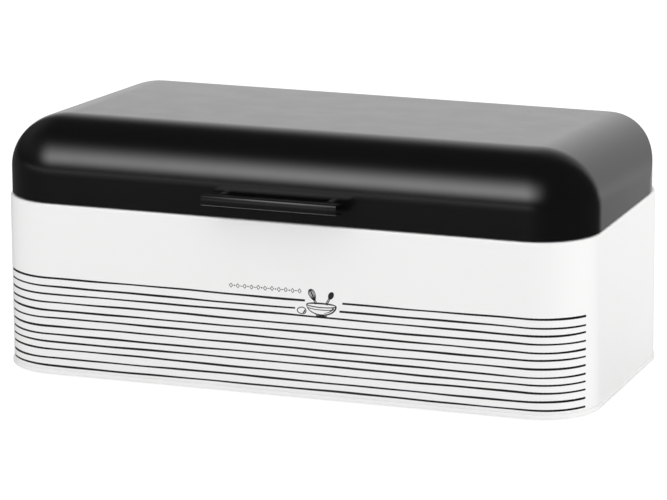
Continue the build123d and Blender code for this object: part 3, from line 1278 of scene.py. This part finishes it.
    def rivets(self, name: str, z: float, face: float) -> Piece:
        """The rivets of both leaves on one body.

        Args:
            name: Name of the piece.
            z: Height of the rivets.
            face: Face of the back panel that the leaves lie on.

        Returns:
            The four rivets as one piece.
        """
        places = [side * BOX.hinge_x + end * self.rivet_x for side in (-1, 1) for end in (-1, 1)]
        patches = [self.rivet(x, z, face + self.gauge, face - BOX.sheet) for x in places]
        return make_piece(name, patches, Shading.CRISP)

    def build(self) -> None:
        """Builds and dresses the hinges' pieces."""
        steel = self.finishes.steel
        makers = ((self.base_leaf, Body.BASE, "hinge_base_leaf"), (self.lid_leaf, Body.LID, "hinge_lid_leaf"),
                  (self.pin, Body.BASE, "hinge_pin"))
        for side, sign in SIDES:
            for maker, body, node in makers:
                piece = maker(side, sign * BOX.hinge_x)
                finish_piece(piece, steel, body, [f"{node}_{side}"])
        to_row = self.leaf - self.rivet_edge
        base = self.rivets("rivets_base", BOX.hinge_z - to_row, BOX.back - BOX.panel_inset)
        lid = self.rivets("rivets_lid", BOX.hinge_z + to_row, BOX.lid_back - BOX.panel_inset)
        finish_piece(base, steel, Body.BASE, ["base_hinge_rivets"])
        finish_piece(lid, steel, Body.LID, ["lid_hinge_rivets"])


@dataclass
class Print:
    """Black print on the white wall: thin lines round the lower part, a small drawing and a row of marks."""

    finishes: Finishes
    heights: tuple[float, ...] = (69.2, 63.35, 58.25, 52.35, 46.9, 41.4, 35.6, 30.0, 24.75, 19.2, 13.25, 7.65)
    line_ends: Pair = (-208.5, 213.9)
    line_step: float = 1.6
    half_line: float = 0.74
    waves: tuple[Pair, ...] = ((0.22, 47.0), (0.12, 19.0), (0.05, 7.0))
    swells: tuple[Pair, ...] = ((0.13, 31.0), (0.08, 11.0))
    gaps: tuple[Pair, ...] = ((17.0, 43.5), (10.0, 41.4))
    film: float = 0.04
    sunk: float = 0.05
    seed: int = 7
    pen: float = 0.4
    drawing_centre: Pair = (28.6, 66.6)
    marks_ends: Pair = (-35.8, 13.2)
    marks_count: int = 21
    marks_height: float = 75.2

    def on_wall(self, along: np.ndarray, proud: np.ndarray) -> np.ndarray:
        """Plan points of the wall by the distance along it from the middle of the front.

        Up to the corner a point keeps its distance along the front. On the corner the extra distance divided
        by the radius is an angle, and the point turns by that angle about the corner's centre.

        Args:
            along: Distances from the middle of the front, negative to the left.
            proud: How far each point stands off the wall.

        Returns:
            Array of points by two.
        """
        straight = BOX.half_width - BOX.front_radius
        angle = np.clip((np.abs(along) - straight) / BOX.front_radius, 0.0, math.pi / 2)
        reach = BOX.front_radius + proud
        x = np.sign(along) * (np.minimum(np.abs(along), straight) + reach * np.sin(angle))
        y = BOX.front + BOX.front_radius - reach * np.cos(angle)
        return np.stack((x, y), axis=-1)

    def film_heights(self) -> np.ndarray:
        """How far a film's four edges stand off the wall: two sunk a little into it and two on the film."""
        return np.array([-self.sunk, self.film, self.film, -self.sunk])[:, None]

    def ribbon(self, along: np.ndarray, height: np.ndarray, half: np.ndarray) -> Patch:
        """Film of ink: four edges carried along a line on the wall.

        The edges lie across the line's slope, at shares of the half width from its middle.

        Args:
            along: Distances along the wall.
            height: Heights of the line's middle.
            half: Half widths.

        Returns:
            A closed patch.
        """
        shift = np.array([-1.0, -0.86, 0.86, 1.0])[:, None] * half[None]
        proud = self.film_heights() * np.ones_like(along)[None]
        slope = np.gradient(height, along)
        lean = 1.0 / np.sqrt(1.0 + slope ** 2)
        flat = self.on_wall(along[None] - shift * slope[None] * lean[None], proud)
        points = np.concatenate((flat, (height[None] + shift * lean[None])[..., None]), axis=2)
        return Patch(points, wrap_rows=True, cap_columns=True)

    def line(self, height: float, start: float, end: float, phase: np.ndarray) -> Patch:
        """One printed line: its height is a sum of three slow waves and its width one of two.

        A wave is its size times the sine of the distance along the wall divided by its length, plus a phase.

        Args:
            height: Mean height of the line.
            start: Where it starts along the wall.
            end: Where it ends.
            phase: Phases of the five waves.

        Returns:
            A closed patch.
        """
        along = np.linspace(start, end, int(abs(end - start) / self.line_step) + 2)
        waves = [size * np.sin(along / length + shift)
                 for (size, length), shift in zip(self.waves + self.swells, phase)]
        count = len(self.waves)
        return self.ribbon(along, height + sum(waves[:count]), self.half_line * (1.0 + sum(waves[count:])))

    def lines(self) -> Piece:
        """All printed lines, the upper ones broken for the drawing.

        Returns:
            The lines as one piece.
        """
        chance = np.random.default_rng(self.seed)
        first, last = self.line_ends
        patches = []
        for index, height in enumerate(self.heights):
            gap = self.gaps[index] if index < len(self.gaps) else None
            spans = [(first, last)] if gap is None else [(first, gap[0]), (gap[1], last)]
            phase = chance.uniform(0.0, FULL_TURN, len(self.waves) + len(self.swells))
            patches += [self.line(height, start, end, phase) for start, end in spans]
        return make_piece("printed_lines", patches, Shading.CRISP)

    def stroke(self, path: np.ndarray, half: float | np.ndarray) -> Patch:
        """Pen stroke: a flat film on the front carried along a path.

        Args:
            path: Array of widths and heights.
            half: Half width of the stroke, or one for each point.

        Returns:
            A closed patch.
        """
        step = np.gradient(path, axis=0)
        step /= np.maximum(np.linalg.norm(step, axis=1, keepdims=True), 1e-9)
        aside = np.column_stack((-step[:, 1], step[:, 0]))
        widths = np.broadcast_to(half, (len(path),))[None, :, None]
        flat = path[None] + np.array([-1.0, -0.8, 0.8, 1.0])[:, None, None] * widths * aside[None]
        proud = BOX.front - self.film_heights() * np.ones(len(path))[None]
        return Patch(np.stack((flat[..., 0], proud, flat[..., 1]), axis=2), wrap_rows=True, cap_columns=True)

    def blot(self, outline: np.ndarray) -> Patch:
        """Solid patch of ink: a closed outline of width and height points with the film's thickness."""
        return prism(outline, BOX.front - self.film, BOX.front + self.sunk, "Y")

    def drawing(self) -> Piece:
        """Small line drawing of a mixing bowl that holds a whisk and a spoon, with an egg beside it.

        Returns:
            The drawing as one piece.
        """
        centre = np.array(self.drawing_centre)
        patches = self.bowl(centre)
        patches += self.whisk(centre + np.array([-3.6, 0.6]), lean=114.0)
        patches += self.spoon(centre + np.array([3.4, 0.6]), lean=62.0)
        patches += self.egg(centre + np.array([-14.0, -4.6]))
        return make_piece("printed_drawing", patches, Shading.CRISP)

    def bowl(self, centre: np.ndarray) -> list[Patch]:
        """Bowl: its rim, wall, foot and a band as strokes, a shadow that swells, and the hollow as a blot.

        Args:
            centre: Middle of the rim.

        Returns:
            The patches of ink.
        """
        half = 10.4
        rim = arc((0.0, 0.0), (half, 1.5), 0.0, 360.0, 60)
        wall = arc((0.0, 0.0), (half, 6.6), 180.0, 360.0, 60)
        foot = np.array([(-3.9, -6.1), (-3.6, -7.3), (3.6, -7.3), (3.9, -6.1)])
        band = arc((0.0, -1.6), (9.9, 1.6), 200.0, 340.0, 40)
        shadow = arc((0.0, -0.2), (8.6, 5.2), 282.0, 350.0, 24)
        upper = arc((0.0, 0.0), (9.6, 1.1), 12.0, 168.0, 30)
        lower = arc((0.0, 0.2), (9.2, 0.5), 168.0, 12.0, 30)
        strokes = ((rim, 1.0), (wall, np.linspace(0.8, 1.5, len(wall))), (foot, 1.0), (band, 0.8),
                   (shadow, np.linspace(0.4, 1.5, len(shadow))))
        patches = [self.stroke(centre + path, self.pen * width) for path, width in strokes]
        return patches + [self.blot(centre + np.vstack((upper, lower)))]

    def egg(self, centre: np.ndarray) -> list[Patch]:
        """Egg: an oval that is blunter to the right, and a short line of shade in it.

        Args:
            centre: Middle of the egg.

        Returns:
            The patches of ink.
        """
        turn = np.linspace(0.0, FULL_TURN, 44)
        shell = np.column_stack((3.1 * np.cos(turn), (2.25 + 0.25 * np.cos(turn)) * np.sin(turn)))
        shadow = arc((0.0, 0.1), (2.2, 1.5), 290.0, 380.0, 16)
        return [self.stroke(centre + shell, self.pen * 0.9), self.stroke(centre + shadow, self.pen * 1.1)]

    def grip(self, root: np.ndarray, way: np.ndarray, side: np.ndarray, reach: Pair,
             steps: int) -> list[Patch]:
        """Grip of a tool: two lines side by side.

        Args:
            root: Where it starts.
            way: Its direction.
            side: The direction across it.
            reach: Its length and half its width.
            steps: Points along each line.

        Returns:
            The two strokes.
        """
        middle = root + np.linspace(0.0, reach[0], steps)[:, None] * way
        return [self.stroke(middle + offset * side, self.pen * 0.9) for offset in (-reach[1], reach[1])]

    def whisk(self, root: np.ndarray, lean: float) -> list[Patch]:
        """Whisk: a grip and three wire loops.

        A loop runs once round a turn t: it reaches half its length times (1 - cos t) along the whisk, and its
        width times sin t to the side, narrowed towards the grip.

        Args:
            root: Where the whisk leaves the bowl.
            lean: Its direction, in degrees.

        Returns:
            The patches of ink.
        """
        way, side = leaning(lean)
        length = 2.8
        strokes = self.grip(root, way, side, (length, 0.5), 8)
        turn = np.linspace(0.0, FULL_TURN, 50)
        along = 3.9 * (1.0 - np.cos(turn))
        for width in (2.7, 1.5, 0.3):
            across = width * np.sin(turn) * (0.55 + 0.45 * (1.0 - np.cos(turn)) / 2.0)
            loop = root + length * way + along[:, None] * way + across[:, None] * side
            strokes.append(self.stroke(loop, self.pen * 0.85))
        return strokes

    def spoon(self, root: np.ndarray, lean: float) -> list[Patch]:
        """Spoon: a grip and a solid oval head.

        Args:
            root: Where the spoon leaves the bowl.
            lean: Its direction, in degrees.

        Returns:
            The patches of ink.
        """
        way, side = leaning(lean)
        turn = np.linspace(0.0, FULL_TURN, 40, endpoint=False)
        head = root + (7.4 + 2.8 * np.cos(turn))[:, None] * way + (1.9 * np.sin(turn))[:, None] * side
        return self.grip(root, way, side, (5.0, 0.45), 14) + [self.blot(head)]

    def marks(self) -> Piece:
        """Row of small plain marks: open diamonds with a dot or a short dash between each two.

        Returns:
            The marks as one piece.
        """
        corners = np.array([(1.2, 0.0), (0.0, 1.45), (-1.2, 0.0), (0.0, -1.45), (1.2, 0.0)])
        fine = np.linspace(0.0, 4.0, 33)
        diamond = np.column_stack([np.interp(fine, np.arange(5), corners[:, axis]) for axis in (0, 1)])
        turn = np.linspace(0.0, FULL_TURN, 16, endpoint=False)
        dot = 0.5 * np.column_stack((np.cos(turn), np.sin(turn)))
        dash = np.array([(-0.75, 0.0), (0.0, 0.0), (0.75, 0.0)])
        patches = []
        for index, x in enumerate(np.linspace(*self.marks_ends, self.marks_count)):
            centre = np.array([x, self.marks_height + 0.12 * math.sin(index * 1.7)])
            if index % 2 == 0:
                patches.append(self.stroke(centre + diamond, 0.24))
            elif index % 4 == 1:
                patches.append(self.blot(centre + dot))
            else:
                patches.append(self.stroke(centre + dash, 0.26))
        return make_piece("printed_marks", patches, Shading.CRISP)

    def build(self) -> None:
        """Builds and dresses the print."""
        for piece in (self.lines(), self.drawing(), self.marks()):
            finish_piece(piece, self.finishes.ink, Body.BASE)


def leaning(lean: float) -> tuple[np.ndarray, np.ndarray]:
    """Unit directions along and across something that leans by an angle.

    Args:
        lean: The angle, in degrees.

    Returns:
        The direction along it and the direction to its left.
    """
    turn = math.radians(lean)
    way = np.array([math.cos(turn), math.sin(turn)])
    return way, np.array([-way[1], way[0]])


@dataclass
class CarriedOver:
    """Nodes whose solid shape is right, which only get their finish."""

    finishes: Finishes
    nodes: dict[str, Slot] = field(default_factory=lambda: {
        "base_back_panel": Slot.WHITE, "lid_back_panel": Slot.BLACK,
        "handle_screw_left": Slot.STEEL, "handle_screw_right": Slot.STEEL,
    })

    def build(self) -> None:
        """Dresses the nodes."""
        for name, slot in self.nodes.items():
            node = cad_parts[name]
            if not node.material_slots:
                node.data.materials.append(None)
            for place in node.material_slots:
                place.material = self.finishes.of_slot(slot)
            LOG.info("%s keeps its solid shape", name)


@dataclass(frozen=True)
class Softbox:
    """Soft rectangular light that faces the box and that glossy surfaces don't mirror; metres and watts."""

    name: str
    place: Triple
    size: Pair
    power: float

    def build(self) -> None:
        """Adds the light to the scene."""
        lamp = bpy.data.lights.new(self.name, "AREA")
        lamp.shape = "RECTANGLE"
        lamp.size, lamp.size_y = self.size
        lamp.energy = self.power
        light = bpy.data.objects.new(self.name, lamp)
        light.location = self.place
        middle = Vector((0.0, 0.0, 0.08))
        way = middle - Vector(self.place)
        light.rotation_euler = way.to_track_quat("-Z", "Y").to_euler()
        light.visible_glossy = False
        light.visible_camera = False
        bpy.context.scene.collection.objects.link(light)


@dataclass(frozen=True)
class Studio:
    """Pale floor, soft lights and the camera at the picture's angle.

    Each pair below the target gives the two limits between which a glow or a band comes or goes. For the
    sky they are parts of the direction that a glossy surface mirrors, for the floor places in metres.
    """

    azimuth: float = 20.14
    elevation: float = 13.9
    roll: float = -0.33
    distance: float = 2.93329
    focal: float = 230.07
    shift: Pair = (0.000165, -0.00681)
    target: Triple = (0.0, 0.0057, 0.0815)

    sky: float = 0.95
    sky_rise: float = 0.10
    dark: float = 0.06

    rear_glow: float = 1.25
    rear_wedge: Pair = (0.18, 0.52)
    rear_height: Pair = (0.12, 0.95)
    rear_right: Pair = (-0.20, 0.34)
    right_share: float = 0.66

    front_panel: float = 11.2
    left_panel: float = 0.12
    panel_foot: Pair = (0.06, 0.45)
    panel_head: Pair = (0.40, 0.95)
    front_left: Pair = (-0.80, -0.12)
    front_right: Pair = (-0.66, 0.50)
    front_depth: Pair = (-0.78, -0.05)
    left_reach: Pair = (-0.75, -0.30)

    floor_reach: float = 14.0
    floor_glow: float = 0.72
    floor_slant: float = -1.5
    floor_start: float = 0.3
    floor_near: Pair = (-0.04, 0.16)
    floor_far: Pair = (0.12, 0.60)
    floor_panel: float = 1.2
    near_floor: float = 0.05
    floor_front: Pair = (-3.0, -0.55)
    floor_right: Pair = (0.05, 0.60)

    lights: tuple[Softbox, ...] = (
        Softbox("front_softbox", (-0.3, -2.6, 1.1), (2.4, 1.6), 6.8),
        Softbox("right_softbox", (2.6, 0.3, 1.1), (1.8, 1.6), 17.5),
        Softbox("left_softbox", (-2.6, -0.2, 0.9), (1.8, 1.4), 2.0),
        Softbox("top_softbox", (0.0, -1.0, 2.6), (2.0, 1.6), 5.0),
    )

    def camera(self) -> None:
        """Adds the camera: it stands at the azimuth and elevation from the target and looks at it."""
        turn, lift, roll = (math.radians(value) for value in (self.azimuth, self.elevation, self.roll))
        away = Vector((math.sin(turn) * math.cos(lift), -math.cos(turn) * math.cos(lift), math.sin(lift)))
        right = Vector((math.cos(turn), math.sin(turn), 0.0))
        upward = away.cross(right)
        rolled_right = math.cos(roll) * right + math.sin(roll) * upward
        rolled_up = -math.sin(roll) * right + math.cos(roll) * upward
        lens = bpy.data.cameras.new("studio_camera")
        lens.sensor_width = 36.0
        lens.sensor_fit = "HORIZONTAL"
        lens.lens = self.focal
        lens.shift_x, lens.shift_y = self.shift
        lens.clip_end = 50.0
        camera = bpy.data.objects.new("studio_camera", lens)
        place = Vector(self.target) + away * self.distance
        turned_to = Matrix((rolled_right, rolled_up, away)).transposed().to_4x4()
        camera.matrix_world = Matrix.Translation(place) @ turned_to
        bpy.context.scene.collection.objects.link(camera)
        bpy.context.scene.camera = camera

    def world(self) -> None:
        """White to the camera, a soft sky to matt surfaces, a studio's bright and dark parts to glossy ones.

        For matt surfaces the sky brightens with height. For glossy ones it is bright low behind the box,
        where the depth is more than the way to the side, and in a broad soft band to the front left. These
        come and go by smooth steps of the direction's parts, and the rest is dark.
        """
        world = bpy.data.worlds.new("studio_sky")
        bpy.context.scene.world = world
        tree = node_tree(world)
        split = tree.nodes.new("ShaderNodeSeparateXYZ")
        tree.links.new(tree.nodes.new("ShaderNodeTexCoord").outputs["Generated"], split.inputs[0])
        across, depth, height = split.outputs
        wedge = math_node(tree, "SUBTRACT", depth, math_node(tree, "ABSOLUTE", across))
        glow = product(tree, rise(tree, wedge, self.rear_wedge), drop(tree, height, self.rear_height),
                       between(tree, across, (1.0, self.right_share), self.rear_right))
        panel = product(tree, rise(tree, height, self.panel_foot), drop(tree, height, self.panel_head))
        front = product(tree, rise(tree, across, self.front_left), drop(tree, across, self.front_right),
                        drop(tree, depth, self.front_depth))
        side = between(tree, across, (self.left_panel, 0.0), self.left_reach)
        panel = product(tree, panel, math_node(tree, "MULTIPLY_ADD", front, self.front_panel, side))
        rear = math_node(tree, "MULTIPLY_ADD", glow, self.rear_glow, self.dark)
        glossy = math_node(tree, "ADD", rear, panel)
        above = math_node(tree, "MAXIMUM", height, 0.0)
        strength = math_node(tree, "MULTIPLY_ADD", above, self.sky_rise, self.sky)
        path = tree.nodes.new("ShaderNodeLightPath")
        for ray, value in (("Is Glossy Ray", glossy), ("Is Camera Ray", 1.0)):
            change = math_node(tree, "SUBTRACT", value, strength)
            strength = math_node(tree, "MULTIPLY_ADD", path.outputs[ray], change, strength)
        shader = tree.nodes.new("ShaderNodeBackground")
        tree.links.new(strength, shader.inputs["Strength"])
        output = tree.nodes.new("ShaderNodeOutputWorld")
        tree.links.new(shader.outputs[0], output.inputs["Surface"])

    def floor_mirror(self, tree: Tree) -> Socket:
        """What glossy surfaces see on the floor.

        It is bright behind the box, in a wedge that widens away from it, softly bright far in front on the
        left, and dark near the box.

        Args:
            tree: The tree that gets the nodes.

        Returns:
            The shader socket of that light.
        """
        split = tree.nodes.new("ShaderNodeSeparateXYZ")
        tree.links.new(tree.nodes.new("ShaderNodeTexCoord").outputs["Object"], split.inputs[0])
        aside = math_node(tree, "ABSOLUTE", split.outputs["X"])
        depth = math_node(tree, "ADD", split.outputs["Y"], self.floor_start)
        wedge = math_node(tree, "MULTIPLY_ADD", aside, self.floor_slant, depth)
        behind = math_node(tree, "ADD", between(tree, wedge, (0.0, 0.6 * self.floor_glow), self.floor_near),
                           between(tree, wedge, (0.0, 0.4 * self.floor_glow), self.floor_far))
        before = between(tree, split.outputs["Y"], (self.floor_panel, self.near_floor), self.floor_front)
        before = product(tree, before, drop(tree, split.outputs["X"], self.floor_right))
        mirror = tree.nodes.new("ShaderNodeEmission")
        both = math_node(tree, "ADD", math_node(tree, "ADD", behind, before), self.dark)
        tree.links.new(both, mirror.inputs["Strength"])
        return mirror.outputs[0]

    def floor(self) -> None:
        """Floor that looks white to the camera, keeps the box's shadow and has its own look in a gloss."""
        reach = self.floor_reach
        mesh = bpy.data.meshes.new("studio_floor")
        corners = [(-reach, -reach, 0.0), (reach, -reach, 0.0), (reach, reach, 0.0), (-reach, reach, 0.0)]
        mesh.from_pydata(corners, [], [(0, 1, 2, 3)])
        floor = bpy.data.objects.new("studio_floor", mesh)
        bpy.context.scene.collection.objects.link(floor)
        material = bpy.data.materials.new("pale_floor")
        tree = node_tree(material)
        path = tree.nodes.new("ShaderNodeLightPath")
        surface = self.matt(tree, albedo=0.84, lift=0.23)
        shown = self.matt(tree, albedo=0.22, lift=0.90)
        for ray, shader in (("Is Camera Ray", shown), ("Is Glossy Ray", self.floor_mirror(tree))):
            mix = tree.nodes.new("ShaderNodeMixShader")
            for index, socket in enumerate((path.outputs[ray], surface, shader)):
                tree.links.new(socket, mix.inputs[index])
            surface = mix.outputs[0]
        output = tree.nodes.new("ShaderNodeOutputMaterial")
        tree.links.new(surface, output.inputs["Surface"])
        mesh.materials.append(material)

    @staticmethod
    def matt(tree: Tree, albedo: float, lift: float) -> Socket:
        """Matt white with a little light of its own.

        Args:
            tree: The tree that gets the nodes.
            albedo: Share of the light that it scatters.
            lift: Strength of its own light.

        Returns:
            The shader socket.
        """
        diffuse = add_node(tree, "ShaderNodeBsdfDiffuse", Color=(albedo, albedo, albedo, 1.0))
        glow = add_node(tree, "ShaderNodeEmission", Strength=lift)
        both = tree.nodes.new("ShaderNodeAddShader")
        tree.links.new(diffuse.outputs[0], both.inputs[0])
        tree.links.new(glow.outputs[0], both.inputs[1])
        return both.outputs[0]

    def build(self) -> None:
        """Builds the camera, the sky, the floor and the lights."""
        self.camera()
        self.world()
        self.floor()
        for light in self.lights:
            light.build()


def main() -> None:
    """Builds the studio and the sub-assemblies in order."""
    logging.basicConfig(level=logging.INFO, format="%(name)s %(message)s")
    bpy.context.scene.view_settings.view_transform = "Standard"
    finishes = Finishes.build()
    Studio().build()
    for assembly in (Base(finishes), Lid(finishes), Handle(finishes), Hinges(finishes), Print(finishes),
                     CarriedOver(finishes)):
        assembly.build()
        LOG.info("%s built", type(assembly).__name__)


if __name__ == "__main__":
    main()
